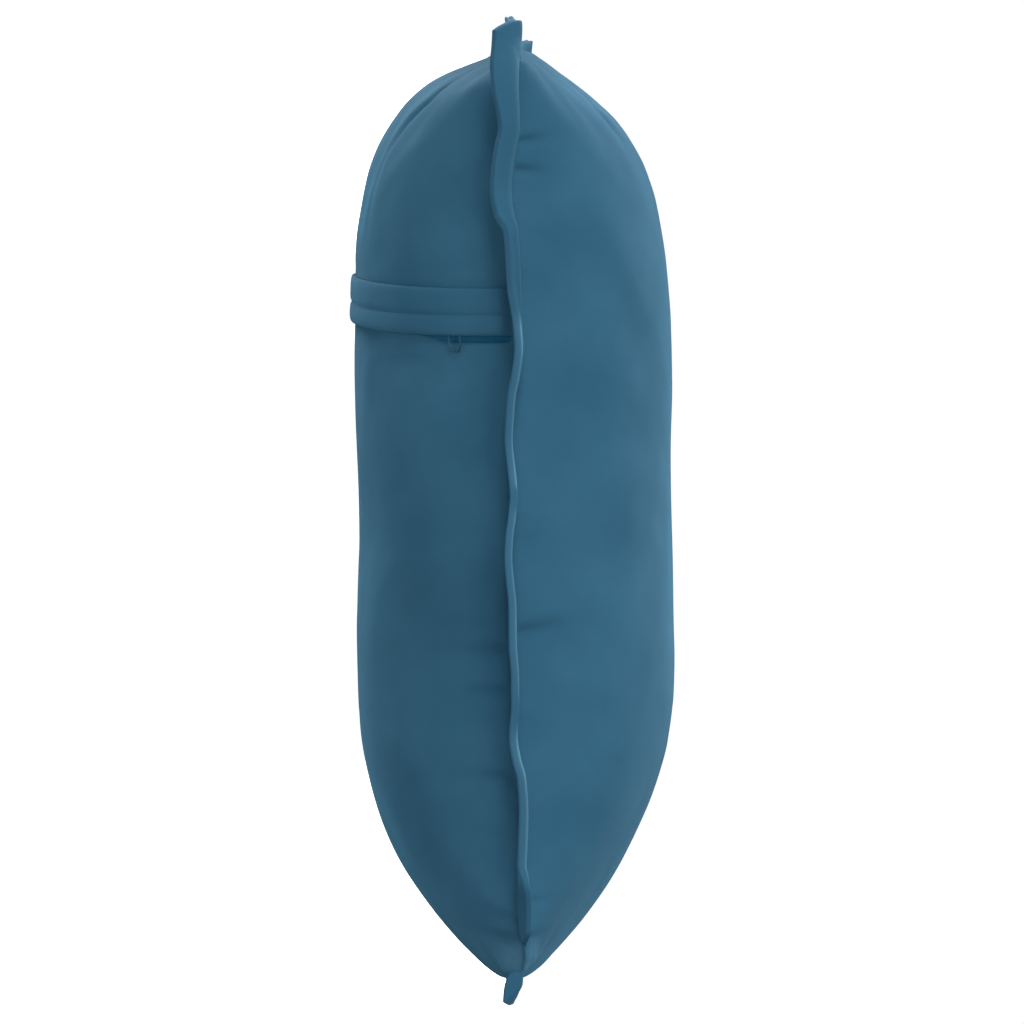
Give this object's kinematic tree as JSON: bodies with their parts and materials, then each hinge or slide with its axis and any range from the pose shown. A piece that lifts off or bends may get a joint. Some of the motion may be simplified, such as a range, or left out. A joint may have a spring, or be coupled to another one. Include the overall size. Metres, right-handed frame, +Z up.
{
  "type": "back cushion",
  "caption": "Square velvet back cushion with a full crown, a standing doubled flange all round the seam and a covered zip across the back.",
  "frame": {"origin": "on the resting surface, under the middle of the cushion's whole extent, flange included", "axes": "+Z up from the surface, the way the front face points; +Y to the cushion's top edge; +X across its width. The zip side faces down."},
  "size_m": [0.5738, 0.5896, 0.1912],
  "materials": {
    "velvet": "matte",
    "coated_metal": "satin"
  },
  "bodies": {
    "root": {"cushion": "velvet", "flange": "velvet", "zip_flap": "velvet", "zip_tape": "velvet", "zip_pull": "coated_metal"}
  },
  "joints": []
}
